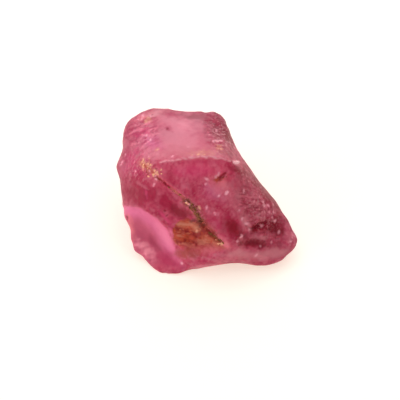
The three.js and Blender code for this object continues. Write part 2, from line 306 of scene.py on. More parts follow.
PAINT = [
    # the upper face: rose in the middle, partly painted light where the top catches light from above,
    # and purple to its left
    Patch(ROSE, 0.9, Oval((-1.0, 3.3), (2.9, 1.8), 0, 0.6, 0.15, 0.8)),
    Patch(PINK, 0.4, Oval((-0.9, 3.75), (1.2, 0.8), -10, 1, 0.2, 0.5)),
    Patch(CORAL, 0.6, Oval((-0.6, 2.2), (3.0, 0.7), 0, 0.9, 0.3, 0.6)),
    Patch(MAGENTA, 0.35, Oval((-3.2, 3.0), (1.3, 1.3), 0, 0.8, 0.4, 0.7)),
    Patch(ROSE, 0.5, Oval((-3.4, 2.8), (1.5, 2.2), 0, 0.9, 0.3, 0.4)),
    Patch(LILAC, 0.9, Oval((-2.75, 2.85), (0.9, 0.6), -20, 0.9, 0.4, 0.4)),
    Patch(MAGENTA, 0.9, Oval((-3.45, 3.45), (0.75, 0.3), 10, 0.8, 0.6, 0.3)),
    Patch(BERRY, 0.7, Oval((-3.6, 3.4), (0.6, 0.3), 20, 0.9, 0.6, 0.3)),
    Patch(BERRY, 0.6, Oval((-2.6, 3.65), (0.7, 0.3), 10, 0.9, 0.6, 0.25)),
    Patch(BERRY, 0.8, Oval((-1.85, 3.7), (0.4, 0.27), -30, 0.9, 0.6, 0.25)),
    Patch(BERRY, 0.6, Oval((-1.55, 4.5), (1.1, 0.25), -8, 0.9, 0.5, 0.3)),
    Patch(FROST, 0.8, Oval((-2.8, 4.55), (1.2, 0.4), 20, 0.9, 0.3, 0.3)),
    Patch(PALE, 0.3, Oval((-2.7, 4.6), (1.0, 0.35), 15, 0.9, 0.3, 0.3)),
    Patch(SALMON, 0.8, Oval((-3.4, 4.35), (0.7, 0.3), 25, 0.9, 0.5, 0.3)),
    Patch(SAND, 0.9, Oval((-3.05, 4.2), (0.35, 0.25), 0, 0.8, 0.6, 0.2)),
    Patch(PALE, 0.3, Oval((-2.7, 2.1), (0.9, 0.6), 0, 0.9, 0.4, 0.3)),
    Patch(PALE, 0.3, Oval((1.2, 2.2), (0.9, 0.4), -10, 0.9, 0.4, 0.3)),
    Patch(SAND, 0.5, Oval((-2.45, 2.45), (0.2, 0.2), 0, 0.8, 0.4, 0.2)),
    # its top right corner, brownish and pitted
    Patch(BERRY, 0.6, Oval((0.5, 3.4), (1.5, 1.9), 15, 0.9, 0.3, 0.4)),
    Patch(MAUVE, 0.9, Oval((1.2, 3.7), (1.2, 1.8), 15, 0.8, 0.3, 0.4)),
    Patch(MAUVE, 0.7, Oval((-0.2, 4.4), (1.5, 0.4), -5, 0.9, 0.4, 0.4)),
    Patch(PLUM, 0.7, Oval((0.75, 4.2), (0.8, 0.3), -30, 0.8, 0.6, 0.25)),
    Patch(GARNET, 0.9, Oval((1.6, 3.2), (0.25, 1.2), 24, 0.8, 0.4, 0.3)),
    Patch(MAUVE, 0.6, Oval((1.5, 2.3), (0.9, 0.6), -40, 0.9, 0.4, 0.4)),
    Patch(SAND, 0.4, Oval((0.2, 2.2), (0.9, 0.25), 0, 0.8, 0.6, 0.2)),
    Patch(SAND, 0.6, Oval((1.05, 2.55), (0.35, 0.22), 20, 0.8, 0.6, 0.15)),
    # the slab
    Patch(MAGENTA, 0.5, Oval((-0.4, 1.2), (2.0, 0.6), 0, 0.9, 0.3, 0.6)),
    Patch(PLUM, 0.8, Oval((2.1, 1.25), (0.9, 0.35), -20, 0.8, 0.5, 0.3)),
    Patch(BERRY, 0.5, Oval((0.2, 1.7), (2.2, 0.25), -2, 0.9, 0.3, 0.4)),
    Patch(LILAC, 0.5, Oval((0.8, 0.0), (1.1, 0.7), -30, 0.9, 0.3, 0.6)),
    Patch(PLUM, 0.5, Oval((-0.4, 0.15), (0.45, 0.7), 15, 0.9, 0.4, 0.5)),
    Patch(ROSE, 0.4, Oval((1.4, -0.1), (1.5, 0.8), -35, 1, 0.3, 0.4)),
    Patch(ROSE, 0.3, Oval((0.5, -1.1), (0.6, 0.5), -50, 1, 0.3, 0.4)),
    Patch(SALMON, 0.65, Oval((1.2, 0.45), (1.1, 0.7), -30, 1, 0.3, 0.4)),
    Patch(PLUM, 0.8, Oval((1.8, -1.8), (1.4, 0.6), -52, 0.9, 0.4, 0.5)),
    Patch(GARNET, 1.0, Oval((2.0, -2.2), (1.1, 0.6), -50, 0.9, 0.3, 0.4)),
    Patch(MAGENTA, 0.4, Oval((1.0, -1.8), (0.5, 0.25), -50, 0.8, 0.4, 0.4)),
    Patch(GARNET, 0.4, Oval((1.3, -2.0), (0.7, 0.4), -50, 0.9, 0.4, 0.4)),
    # the left face, dark crimson low down
    Patch(MAGENTA, 0.7, Oval((-3.7, 1.5), (1.0, 1.2), 0, 0.7, 0.5, 0.5)),
    Patch(PLUM, 1.0, Oval((-3.4, 0), (1.5, 1.0), -15, 0.8, 0.5, 0.5)),
    Patch(MAGENTA, 0.5, Oval((-2.7, 0.9), (0.5, 0.35), -30, 0.8, 0.4, 0.4)),
    Patch(PLUM, 1.0, Oval((-1.9, -0.65), (1.7, 0.7), -36, 0.9, 0.5, 0.4)),
    Patch(GARNET, 1.0, Oval((-1.2, -1.15), (1.0, 0.5), -30, 0.9, 0.4, 0.4)),
    Patch(PLUM, 0.6, Oval((-4.4, 0.6), (0.45, 1.1), 0, 0.9, 0.3, 0.4)),
    Patch(PLUM, 0.9, Oval((-3.5, 0.7), (1.0, 0.8), 0, 0.9, 0.4, 0.4)),
    Patch(PLUM, 0.6, Oval((-1.8, 0.8), (0.6, 0.8), 0, 0.9, 0.3, 0.4)),
    Patch(GARNET, 0.35, Oval((-3.6, -0.2), (1.0, 0.9), 0, 0.9, 0.3, 0.4)),
    Patch(GARNET, 0.8, Oval((-1.2, -1.15), (0.7, 0.5), -35, 0.9, 0.3, 0.4)),
    Patch(BERRY, 0.4, Oval((-3.6, 1.3), (0.6, 0.6), 0, 0.9, 0.3, 0.4)),
    Patch(ROSE, 0.4, Oval((-4.5, 1.4), (0.4, 0.7), 0, 0.9, 0.3, 0.4)),
    Patch(MAGENTA, 0.8, Oval((-2.0, -1.45), (0.75, 0.14), -48, 0.8, 0.4, 0.3)),
    Patch(MAGENTA, 0.6, Oval((-3.05, -0.1), (0.1, 0.35), 10, 0.8, 0.5, 0.3)),
    # the scoop, with painted light and shade: a painted lit band, a painted shaded band and a bright
    # pink patch of painted light
    Patch(SALMON, 0.8, Oval((-4.0, -2.0), (0.3, 1.2), 15, 0.9, 0.4, 0.3)),
    Patch(BERRY, 0.7, Oval((-1.6, -4.1), (1.1, 0.5), -10, 0.9, 0.3, 0.4)),
    Patch(SHADE, 0.9, Oval((-2.7, -2.85), (1.2, 0.33), -53, 1, 0.2, 0.4)),
    # a bright pink patch of painted light low in the scoop
    Patch(PINK, 1.0, Oval((-3.07, -3.35), (1.1, 0.4), -43, 0.8, 0.5, 0.25)),
    Patch(BERRY, 0.7, Oval((-2.0, -3.7), (0.9, 0.5), 0, 0.9, 0.3, 0.3)),
    Patch(TERRA, 1.0, Oval((-0.6, -3.5), (1.3, 0.5), 0, 0.8, 0.3, 0.3)),
    # the scoop's painted lit band, half-lit beside it, and painted shade to its left
    Patch(SCOOP_LIT, 1.0, Oval((-2.03, -2.5), (1.5, 0.42), -58, 0.9)),
    Patch(SCOOP_MID, 0.7, Oval((-1.65, -2.25), (0.45, 0.2), -60, 0.9, 0.3, 0.2)),
    Patch(SCOOP_DIM, 0.7, Oval((-3.3, -2.1), (1.1, 0.6), -45, 1, 0.3, 0.3)),
    # beside the stain
    Patch(SALMON, 0.4, Oval((0.6, -3.3), (1.3, 0.35), 8, 0.9, 0.3, 0.3)),
    Patch(SALMON, 0.7, Oval((1.55, -3.05), (0.4, 0.25), -45, 0.8, 0.3, 0.3)),
    # the right end
    Patch(MAUVE, 0.6, Oval((3.2, -0.9), (2.6, 1.2), -55, 0.7, 0.3, 0.4)),
    Patch(MAUVE, 0.6, Oval((3.6, -2.5), (1.9, 1.0), -20, 0.7, 0.3, 0.4)),
    Patch(MAUVE, 0.7, Oval((2.5, 0.8), (0.9, 0.6), -50, 0.8, 0.5, 0.3)),
    Patch(FROST, 0.9, Oval((4.0, -3.55), (2.0, 0.5), 6, 0.8, 0.3, 0.3)),
    Patch(FROST, 0.9, Oval((2.2, -3.5), (1.3, 0.45), 0, 0.9, 0.3, 0.3)),
    Patch(FROST, 0.35, Oval((2.1, -0.3), (0.7, 1.4), -10, 0.9, 0.4, 0.3)),
    Patch(FROST, 0.4, Oval((4.4, -1.0), (0.5, 0.5), 0, 0.9, 0.4, 0.3)),
    Patch(FROST, 0.5, Oval((5.2, -2.7), (0.4, 0.8), 10, 0.9, 0.4, 0.3)),
    Patch(GARNET, 0.9, Oval((4.4, -1.8), (0.8, 0.5), -50, 0.9, 0.4, 0.3)),
    Patch(FROST, 0.6, Oval((2.6, -1.7), (0.35, 0.9), 20, 0.8, 0.6, 0.3)),
    Patch(FROST, 0.8, Oval((4.3, -0.75), (0.3, 0.13), 0, 0.8, 0.3, 0.2)),
    Patch(FROST, 0.6, Oval((3.5, -2.6), (0.8, 0.22), 0, 0.8, 0.5, 0.25)),
    Patch(FROST, 0.7, Oval((2.3, -2.9), (0.45, 0.35), 0, 0.8, 0.5, 0.25)),
    # painted shade in the hollows of the right end
    Patch(HOLLOW_SHADE, 1.0, Oval((3.5, -1.95), (0.85, 0.4), 20, 0.5, 0.4, 0.3)),
    Patch(HOLLOW_SHADE, 0.9, Oval((4.35, -2.15), (0.75, 0.45), -45, 0.6, 0.4, 0.3)),
    Patch(HOLLOW_SHADE, 0.9, Oval((3.0, -2.95), (1.0, 0.36), -5, 0.6, 0.4, 0.3)),
    # a dark band along the steep right rim: painted shade
    Patch(GARNET, 0.9, Oval((3.7, 0.1), (3.2, 0.5), -53, 0.8, 0.4, 0.3)),
    # a pale rose band along the bottom edge: a painted highlight
    Patch(ROSE, 0.8, Oval((0.6, -4.25), (1.5, 0.14), 5, 0.6)),
    # the wide pale chip at the ledge's right end, and a narrow one above it, both painted pale as
    # glints: painted highlights
    Patch(PALE, 1.0, Oval((2.08, 1.68), (0.29, 0.15), 10, 0.5, 0.3, 0.15)),
    Patch(PALE, 0.7, Oval((1.0, 2.93), (0.35, 0.1), 5, 0.6, 0.5, 0.12)),
    # the dark ground below the first, and the ridge above the hollows of the right end
    Patch(GARNET, 0.7, Oval((2.25, 1.17), (0.75, 0.25), -28, 0.8, 0.4, 0.2)),
    Patch(FROST, 0.5, Oval((3.2, -1.42), (0.8, 0.16), -12, 0.8, 0.5, 0.2)),
]
# Fine flecks strewn over an oval: their look, how strong they are, and their size. The pale and golden
# flecks are partly painted glints.
Flecks = namedtuple("Flecks", "look share size oval")
FLECKS = [
    Flecks(FROST, 0.6, 0.2, Oval((3.2, -1.2), (2.7, 1.4), -50, 0.8)),
    Flecks(GARNET, 0.65, 0.25, Oval((3.4, -1.3), (2.7, 1.4), -48, 0.8)),
    Flecks(PALE, 0.55, 0.12, Oval((3.4, -1.0), (1.9, 1.2), -48, 0.8)),
    Flecks(GARNET, 0.7, 0.2, Oval((2.9, 0.7), (1.7, 0.8), -55, 0.8)),
    Flecks(FROST, 0.6, 0.14, Oval((2.9, 0.7), (1.7, 0.8), -55, 0.8)),
    Flecks(GARNET, 0.6, 0.2, Oval((1.2, 3.6), (1.0, 1.8), 15, 0.8)),
    Flecks(PALE, 0.5, 0.14, Oval((1.3, 3.3), (1.1, 2.0), 15, 0.8)),
    Flecks(ROSE, 0.6, 0.14, Oval((-3.4, 3.2), (1.5, 2.0), 0, 0.8)),
    Flecks(BERRY, 0.8, 0.2, Oval((-3.3, 3.4), (1.6, 1.4), 0, 0.8)),
    Flecks(ROSE, 0.8, 0.12, Oval((-3.6, 1.4), (1.6, 1.4), 0, 0.8)),
    Flecks(BERRY, 0.7, 0.16, Oval((-3.1, 1.3), (1.4, 1.0), -40, 0.8)),
    Flecks(GOLD, 0.9, 0.1, Oval((-3.05, 1.5), (0.9, 0.5), -40, 0.7)),
    Flecks(BRICK, 0.9, 0.14, Oval((-2.8, 1.2), (1.2, 0.5), -42, 0.7)),
    Flecks(SAND, 0.6, 0.14, Oval((0.2, 2.25), (1.6, 0.4), 0, 0.8)),
    Flecks(FROST, 0.6, 0.16, Oval((0.8, -3.8), (3.2, 0.7), 4, 0.8)),
    Flecks(PALE, 0.7, 0.12, Oval((5.2, -2.7), (0.5, 0.9), 0, 0.8)),
    Flecks(ROSE, 0.5, 0.14, Oval((0.8, -0.2), (2.2, 1.6), -40, 0.8)),
    Flecks(PALE, 0.7, 0.12, Oval((-0.3, -1.0), (1.1, 0.3), -52, 0.6)),
]
FLECK_START = 0.28  # the height in the noise at which a fleck starts, and its soft edge
FLECK_EDGE = 0.15
# Away from the show face: darker clouds, pale veils of healed cracks and small flecks.
BACK_CLOUDS = Noise(1.5, 2, 97)
CLOUD_SHARE = 0.6
VEILS = Noise(1.8, 3, 98)
VEIL_WIDTH = 0.04  # how near to nothing the noise is within a veil
VEIL_SHARE = 0.6
BACK_FLECKS = Noise(0.15, 2, 99)
BACK_FLECK_SHARE = 0.35
# Strokes of colour along a line, patchy and ragged.
Stroke = namedtuple("Stroke", "look share points width")
STROKE_PATCHES = Noise(0.15, 2, 93)
STROKE_LEVEL = 0.9  # how strong strokes are in their middle, and how much that changes along them
STROKE_CONTRAST = 1.2


def moved(points, across, up):
    """A line of points moved aside."""
    return [(x + across, y + up) for x, y in points]


STROKES = [
    # a painted highlight along the ledge's edge
    Stroke(PALE, 0.7, LEDGE, 0.06),
    Stroke(SAND, 0.5, CRACK[:3], 0.25),
    # painted highlights along the crack's raised lip, pale and then salmon
    Stroke(PALE, 0.2, moved(CRACK[3:7], 0.12, 0.12), 0.06),
    Stroke(SALMON, 0.35, moved(CRACK[6:], 0.16, 0.14), 0.14),
    Stroke(ROSE, 0.6, [(-4.1, 1.14), (-3.9, 0.98), (-3.72, 0.94)], 0.06),
    Stroke(ROSE, 0.6, [(-3.2, 0.69), (-2.95, 0.8), (-2.7, 0.82)], 0.06),
    Stroke(ROSE, 0.5, [(-3.59, 0.56), (-2.95, 0.18)], 0.07),
    # painted shade along the crack's groove
    Stroke(PLUM, 0.7, CRACK[2:-1], 0.07),
    Stroke(RUST, 0.8, CRACK[:4], 0.09),
    Stroke(BRICK, 0.7, CRACK[2:7], 0.07),
    Stroke(SAND, 0.5, CRACK[4:7], 0.06),
    Stroke(DRAB, 1.0, [(-0.8, -0.5), (-0.35, -1.0), (-0.05, -1.4), (0.1, -1.75)], 0.28),
    Stroke(BROWN, 1.0, [(-0.72, -0.5), (-0.4, -0.85), (-0.12, -1.3), (0.15, -1.75)], 0.18),
    Stroke(RUST, 0.8, [(0.1, -1.9), (0.6, -2.3)], 0.3),
    Stroke(BROWN, 1.0, [(0.0, -1.95), (0.5, -2.2), (0.85, -2.45)], 0.16),
    Stroke(BROWN, 0.9, [(-0.5, -1.66), (0.05, -1.7), (0.3, -1.85)], 0.11),
    Stroke(DRAB, 0.9, [(0.7, -2.5), (1.3, -2.9)], 0.1),
    Stroke(RUST, 1.0, [(0.95, 0.7), (1.4, 0.86)], 0.18),
    Stroke(BRICK, 1.0, [(1.1, 0.66), (1.22, 0.8), (1.4, 0.87)], 0.12),
    Stroke(BROWN, 1.0, [(1.25, 0.81), (1.42, 0.88)], 0.09),
    Stroke(SAND, 0.6, [(-1.2, -1.85), (-0.5, -1.85), (-0.1, -2.1)], 0.14),
    Stroke(SAND, 0.3, [(0.3, -2.7), (0.9, -3.0)], 0.2),
    Stroke(BRICK, 1.0, [(-1.35, -2.05), (-0.85, -2.25), (-0.3, -2.42), (0.0, -2.4)], 0.14),
    Stroke(BRICK, 1.0, [(-1.3, -2.85), (-1.1, -2.87)], 0.1),
    Stroke(BRICK, 1.0, [(-0.85, -2.77), (-0.2, -2.98)], 0.12),
    Stroke(BRICK, 1.0, [(0.15, -2.15), (0.6, -2.33)], 0.22),
    Stroke(FROST, 0.6, [(1.95, -0.8), (2.35, -1.5), (2.8, -2.15)], 0.14),
]
# Single spots on the show face: a look, a half width and places (across, up).
Spots = namedtuple("Spots", "look width places")
SPOT_SEED = 4
SPOT_STRETCH = 0.5  # how much a spot is drawn out
SPOT_WIDTHS = (0.7, 1.2)
SPOT_SHARES = (0.7, 1.0)
SPOT_EDGE = 1.25  # how many widths out from its middle a spot ends
# painted glints: small pinkish-white highlights, painted as spots
GLINT_SPOTS = Spots(
    GLINT,
    0.085,
    [
        (1.06, 2.96), (1.21, 2.93), (0.9, 2.93), (0.15, 4.1), (0.96, 3.57), (0.55, 3.3),
        (1.55, -0.01), (1.47, -0.1), (1.5, -0.05), (0.36, 0.71), (0.34, 0.44), (1.04, -0.22),
        (0.83, -1.23), (-2.61, 0.43), (3.42, -0.27), (3.6, -0.56), (3.71, -0.77), (2.49, 0.08),
        (3.71, -1.13), (3.94, -1.13), (4.21, -1.13), (4.12, -1.43), (4.31, -1.66), (3.53, -1.92),
        (2.22, -1.03), (2.38, -1.52), (2.62, -1.81), (2.79, -2.14), (2.14, -2.8), (2.39, -2.51),
        (3.45, -3.09), (3.22, -3.61), (4.06, -2.82), (5.23, -2.82), (4.54, -2.29), (5.33, -2.48),
        (-3.62, 4.25), (-3.33, 4.48), (-2.84, 4.45), (-3.09, 3.25), (-2.84, 3.0), (-0.66, 2.57),
        (-4.32, 2.18), (-2.9, 2.02), (-1.57, 2.03), (-3.75, 1.75), (-4.59, 1.58), (1.72, 2.82),
        (1.99, 2.54), (-1.05, -4.08), (-3.7, 1.2), (-2.55, 0.72), (-0.6, -0.7), (0.39, -0.91),
        (4.2, -0.72), (3.9, -0.77), (2.3, -2.6), (-3.4, 4.3), (0.77, 2.9), (-0.75, -0.6),
        (0.9, 0.83), (1.04, 1.02), (0.99, 0.93), (-2.44, 0.72), (-2.54, 0.88), (-2.63, 0.37),
        (-2.86, 1.2), (-4.5, 1.75),
    ],
)
# golden specks along the ledge and the crack: partly golden crust, partly painted glints
GOLD_FLECK_AND_GLINT_SPOTS = Spots(
    GOLD,
    0.08,
    [
        (-0.45, 2.08), (-0.1, 2.12), (0.26, 2.12), (0.11, 2.27), (1.02, 2.67), (1.2, 2.45),
        (-3.03, 4.35), (-3.15, 4.15), (-2.44, 2.43), (-3.3, 1.71), (-3.18, 1.64), (-3.04, 1.6),
        (-3.37, 1.57), (-2.94, 1.45), (-2.8, 1.54), (-3.25, 1.46), (-0.05, -0.89),
        (1.27, -2.93), (-0.2, -2.22), (-2.45, 1.05), (-2.6, 1.2),
    ],
)
DARK_SPOTS = Spots(
    GARNET,
    0.08,
    [
        (-2.79, 4.53), (-1.87, 3.68), (-2.04, 0.5), (-1.95, 0.44),
        (-4.2, -1.45), (-4.2, -1.6), (2.55, 1.06), (-1.99, -1.05), (-1.88, -1.33),
        (1.1, 0.77), (1.17, 0.86), (1.25, 0.95), (1.32, 0.97), (1.38, 1.03),
    ],
)
# The scoop's painted light and shade by how far in from its edge they lie: a painted lit band just
# inside the edge, dimmer further in. Then how ragged and soft that edge is, and the height on the show
# face at which the scoop's colour ends.
SCOOP_LIGHT_BANDS = [(0, SCOOP_DIM), (0.15, SCOOP_MID), (0.5, SCOOP_MID), (1.0, SCOOP_DIM)]
SCOOP_NOISE = Noise(0.5, 2, 90)
SCOOP_RAGGED = 0.04
SCOOP_SOFT = 0.12
SCOOP_LOW = -4.6
# The stain's edge in the same way, how far out it may stray, and the fibres and lumps within it.
STAIN_NOISE = Noise(0.35, 3, 91)
STAIN_RAGGED = 0.12
STAIN_SOFT = 0.12
STAIN_STRAY = 0.5
STAIN_LOW = -3.65
FIBRES = Streaks((0.7, 0.2), -16, 71)
FIBRE_SHARE = 0.5
PALE_FIBRES = Streaks((0.5, 0.16), -10, 72)
PALE_FIBRE_SHARE = 0.4
PALE_FIBRE_CONTRAST = 2.5
STAIN_LUMPS = Noise(0.15, 2, 92)
STAIN_LUMP_SHARE = 0.3
LUMP_CONTRAST = 2
LOW_FADE = 0.9  # the height over which the scoop and the stain fade out at their lower ends
# Crusts of grains along stretches of the crack: colour, start, end, half width and count.
Crust = namedtuple("Crust", "colour start end width count")
UMBER = (0.11, 0.025, 0.01)
OLIVE = (0.26, 0.1, 0.035)
OCHRE = (1.0, 0.5, 0.3)
CRUSTS = [
    Crust(OCHRE, (-3.45, 1.75), (-2.4, 0.9), 0.4, 18),
    Crust(OLIVE, (-2.3, 0.7), (-1.0, -0.3), 0.12, 6),
    Crust(OCHRE, (-0.8, -0.58), (-0.7, -0.66), 0.05, 3),
    Crust(UMBER, (-0.75, -0.55), (-0.3, -0.95), 0.16, 12),
    Crust(OLIVE, (-0.6, -0.7), (0.1, -1.6), 0.14, 26),
    Crust(UMBER, (-0.2, -1.2), (0.15, -1.7), 0.08, 8),
    Crust(OLIVE, (0.5, -2.3), (1.3, -2.85), 0.08, 14),
    Crust(OCHRE, (0.9, -2.75), (1.35, -3.0), 0.1, 5),
]
# Grains: half widths, lengths and heights against those, how far their corners stray, and how far
# they lie from their crust's middle line against its half width.
GRAIN_SIZES = (0.03, 0.07)
GRAIN_LENGTHS = (1, 1.7)
GRAIN_HEIGHT = 0.5
GRAIN_ROUGHNESS = (0.75, 1.25)
GRAIN_STRAY = 0.5
CLEAR_OF_STONE = 9  # how far out in front of MIDDLE the way down to a grain's seat starts

# Sizes and shares of the mottling all over.
MOTTLE = [(1.6, 0.3), (0.6, 0.38), (0.3, 0.45), (0.14, 0.42)]
MOTTLE_CONTRAST = 1.5
MOTTLE_SEED = 50
PATCH_SEED = 100
FLECK_SEED = 200

# Square lamps: the way and the height they shine from in degrees, their sides in mm and how bright
# they are. A white floor's brightness is 1.
Light = namedtuple("Light", "name azimuth elevation size brightness")
LIGHTS = [
    Light("back", 180, 28, 200, 1.35),
    Light("top", 180, 80, 200, 0.7),
    Light("left", 260, 35, 160, 0.4),
    Light("front", 300, 6, 160, 1.9),
    Light("right", 100, 35, 160, 0.4),
]
LIGHT_DISTANCE = 150
WORLD_BRIGHTNESS = 0.25
FLOOR_SIZE = 4  # in metres
FLOOR_GAP = 0.01  # mm below the stone, so that the two share no face


def on_face(places):
    """Places in the row frame, in mm, as across, up and out."""
    return (places - MIDDLE) @ np.stack([ACROSS, UP, OUT], axis=1)


def smooth(t):
    """0 below 0, 1 above 1, and a smooth rise between."""
    t = np.clip(t, 0, 1)
    return t * t * (3 - 2 * t)


def inside(face, oval, edge=0):
    """1 inside an oval on the show face and 0 outside it."""
    tilt = math.radians(oval.turn)
    across = face[:, 0] - oval.at[0]
    up = face[:, 1] - oval.at[1]
    along = (across * math.cos(tilt) + up * math.sin(tilt)) / oval.reach[0]
    beside = (up * math.cos(tilt) - across * math.sin(tilt)) / oval.reach[1]
    return smooth((1 - np.hypot(along, beside) + edge) / oval.fade)


def ragged(places, face, oval, seed):
    """The same, with the oval's ragged edge."""
    if not oval.ragged:
        return inside(face, oval)
    near = inside(face, oval, EDGE_NOISE_REACH * oval.ragged)
    edge = oval.ragged * cloud(places, oval.size, SOFT_LAYERS, seed, near)
    return inside(face, oval, edge)


def stretches(line, face):
    """A line's stretches: each one's step, and the places' offsets from its start and gaps to it."""
    for start, end in zip(line, line[1:]):
        step = np.array(end) - start
        away = face - start
        t = np.clip(away @ step / (step @ step), 0, 1)
        yield step, away, np.hypot(*(away - t[:, None] * step).T)


def distance_to(line, face):
    """How far each place on the show face is from a line of points."""
    best = np.full(len(face), np.inf)
    for _, _, gap in stretches(line, face):
        best = np.minimum(best, gap)
    return best


def beyond(line, face):
    """How far each place lies to the right of a line of points, and less than 0 on its left."""
    best = np.full(len(face), np.inf)
    side = np.ones(len(face))
    for step, away, gap in stretches(line, face):
        turned = step[1] * away[:, 0] - step[0] * away[:, 1]
        side = np.where(gap < best, np.sign(turned), side)
        best = np.minimum(best, gap)
    return best * side


def cloud(places, size, layers, seed, where=None):
    """Soft noise between about -1 and 1, with lumps of a size in mm, where it is wanted."""
    shift = Vector([seed * step for step in NOISE_STEP])
    values = np.zeros(len(places))
    wanted = range(len(places)) if where is None else np.flatnonzero(where > 0)
    for i in wanted:
        here = Vector(places[i]) / size + shift
        values[i] = noise.fractal(here, LAYER_FADE, LAYER_FINENESS, layers)
    return values


def chips(places, size, seed, where=None):
    """Small flat breaks that tilt at random, as height in units of their size."""
    shift = Vector([seed * step for step in BREAK_STEP])
    heights = np.zeros(len(places))
    wanted = range(len(places)) if where is None else np.flatnonzero(where > 0)
    for i in wanted:
        here = Vector(places[i]) / size + shift
        nearest = noise.voronoi(here)[1][0]
        heights[i] = (here - nearest).dot(noise.noise_vector(nearest * TILT_SPREAD))
    return heights


class Surface:
    """The stone's surface as arrays: places and normals, in mm."""

    def __init__(self, mesh):
        self.mesh = mesh
        edges = np.empty(len(mesh.edges) * 2, dtype=int)
        mesh.edges.foreach_get("vertices", edges)
        self.edges = edges.reshape(-1, 2)
        self.degree = np.bincount(edges, minlength=len(mesh.vertices))[:, None]
        self.read()

    def read(self):
        places = np.empty(len(self.mesh.vertices) * 3, dtype=np.float32)
        self.mesh.vertices.foreach_get("co", places)
        self.places = places.reshape(-1, 3).astype(float)
        normals = np.empty(len(self.mesh.vertices) * 3, dtype=np.float32)
        self.mesh.vertex_normals.foreach_get("vector", normals)
        self.normals = normals.reshape(-1, 3).astype(float)
        self.face = on_face(self.places)
        self.front = smooth((self.normals @ OUT + FRONT_FADE) / FRONT_FADE)

    def write(self):
        self.mesh.vertices.foreach_set("co", self.places.astype(np.float32).ravel())
        self.mesh.update()
        self.read()

    def average(self, values):
        """Each place's mean over its neighbours."""
        total = np.zeros_like(values)
        for here, there in ((0, 1), (1, 0)):
            near = values[self.edges[:, there]]
            for axis in range(3):
                total[:, axis] += np.bincount(self.edges[:, here], near[:, axis], len(values))
        return total / self.degree

    def wear(self, steps):
        """Rounds the edges. Each step back keeps the stone from shrinking."""
        for _ in range(steps):
            for share in WEAR_SHARES:
                self.places += share * (self.average(self.places) - self.places)
        self.write()

    def soften(self, steps, where):
        """Rounds the stone further in some places, and leaves its base flat."""
        share = (SOFT_SHARE * where * smooth(self.places[:, 2] / SOFT_FADE))[:, None]
        for _ in range(steps):
            self.places += share * (self.average(self.places) - self.places)
        self.write()

    def raise_by(self, height):
        """Moves the surface out by a height in mm, and leaves the flat base where it is."""
        free = smooth((self.places[:, 2] - BASE_EDGE) / BASE_FADE)
        self.places += (height * free)[:, None] * self.normals
        self.places[:, 2] = np.maximum(self.places[:, 2], 0)
        self.write()

    def push(self, across, up, where):
        """Moves the surface level, by so much across and up as they are seen on the show face."""
        self.places[:, 0] += across * where
        self.places[:, 1] += up / UP[1] * where
        self.write()

    def store(self, name, values):
        """Keeps a number for each place, for the material to read."""
        layer = self.mesh.attributes.new(name, "FLOAT", "POINT")
        layer.data.foreach_set("value", np.clip(values, 0, 1).astype(np.float32))

    def store_colour(self, name, colours):
        """Keeps a colour for each place, for the material to read."""
        layer = self.mesh.attributes.new(name, "FLOAT_COLOR", "POINT")
        solid = np.column_stack([np.clip(colours, 0, 1), np.ones(len(colours))])
        layer.data.foreach_set("color", solid.astype(np.float32).ravel())


def fine_copy(node):
    """A node's solid in mm, remeshed in small squares."""
    coarse = node.data.copy()
    coarse.transform(Matrix.Scale(1 / MM, 4))
    holder = bpy.data.objects.new("coarse", coarse)
    bpy.context.collection.objects.link(holder)
    remesh = holder.modifiers.new("squares", "REMESH")
    remesh.mode = "VOXEL"
    remesh.voxel_size = SQUARE
    remesh.use_smooth_shade = True
    graph = bpy.context.evaluated_depsgraph_get()
    mesh = bpy.data.meshes.new_from_object(holder.evaluated_get(graph))
    bpy.data.objects.remove(holder)
    return mesh


def streaks(face, size, turn, seed, where):
    """Noise drawn out along a turn on the show face."""
    tilt = math.radians(turn)
    along = face[:, 0] * math.cos(tilt) + face[:, 1] * math.sin(tilt)
    beside = face[:, 1] * math.cos(tilt) - face[:, 0] * math.sin(tilt)
    drawn = np.column_stack([along / size[0], beside / size[1], 0 * along])
    return cloud(drawn, 1, ROUGH_LAYERS, seed, where)


def pits(places, size, seed, where):
    """1 in pits with steep sides, and 0 between them."""
    return smooth((cloud(places, size, ROUGH_LAYERS, seed, where) - PIT_START) / PIT_EDGE)


def wander(places):
    """How far lines stray at each place, across and up."""
    return LINE_WANDER * np.column_stack([cloud(places, *stray) for stray in WANDERS])


def shape_outline(surface):
    """Wears the edges down, most where the stone is worn round, and trues the outline."""
    surface.wear(WEAR)
    worn = np.zeros(len(surface.places))
    for zone in WORN:
        worn = np.maximum(worn, inside(surface.face, zone))
    surface.soften(SOFT_WEAR, worn)
    for push in PUSHES:
        surface.push(push.across, push.up, inside(surface.face, push.oval))


def relief_all_over(places, back):
    """Swellings, lumps and breaks all over, and larger breaks away from the show face."""
    height = SWELLING_HEIGHT * cloud(places, *SWELLINGS)
    height += LUMP_HEIGHT * cloud(places, *LUMPS)
    height += BREAK_HEIGHT * chips(places, *BREAKS)
    height += BACK_BREAK_HEIGHT * back * chips(places, *BACK_BREAKS, back)
    return height


def add_rough_ground(height, places, face, front):
    """The relief with the show face's rough ground, pits and dents added."""
    for seed, zone in enumerate(ROUGH):
        here = inside(face, zone.oval) * front
        size = zone.oval.size
        height += zone.height * here * cloud(places, size, ROUGH_LAYERS, ROUGH_SEED + seed, here)
        height += BREAK_SHARE * zone.height * here * chips(places, size, seed, here)
    for seed, zone in enumerate(PITTED):
        here = inside(face, zone.oval) * front
        height += zone.height * here * pits(places, zone.oval.size, PIT_SEED + seed, here)
    for dent in DENTS:
        height += dent.height * inside(face, dent.oval) * front
    return height


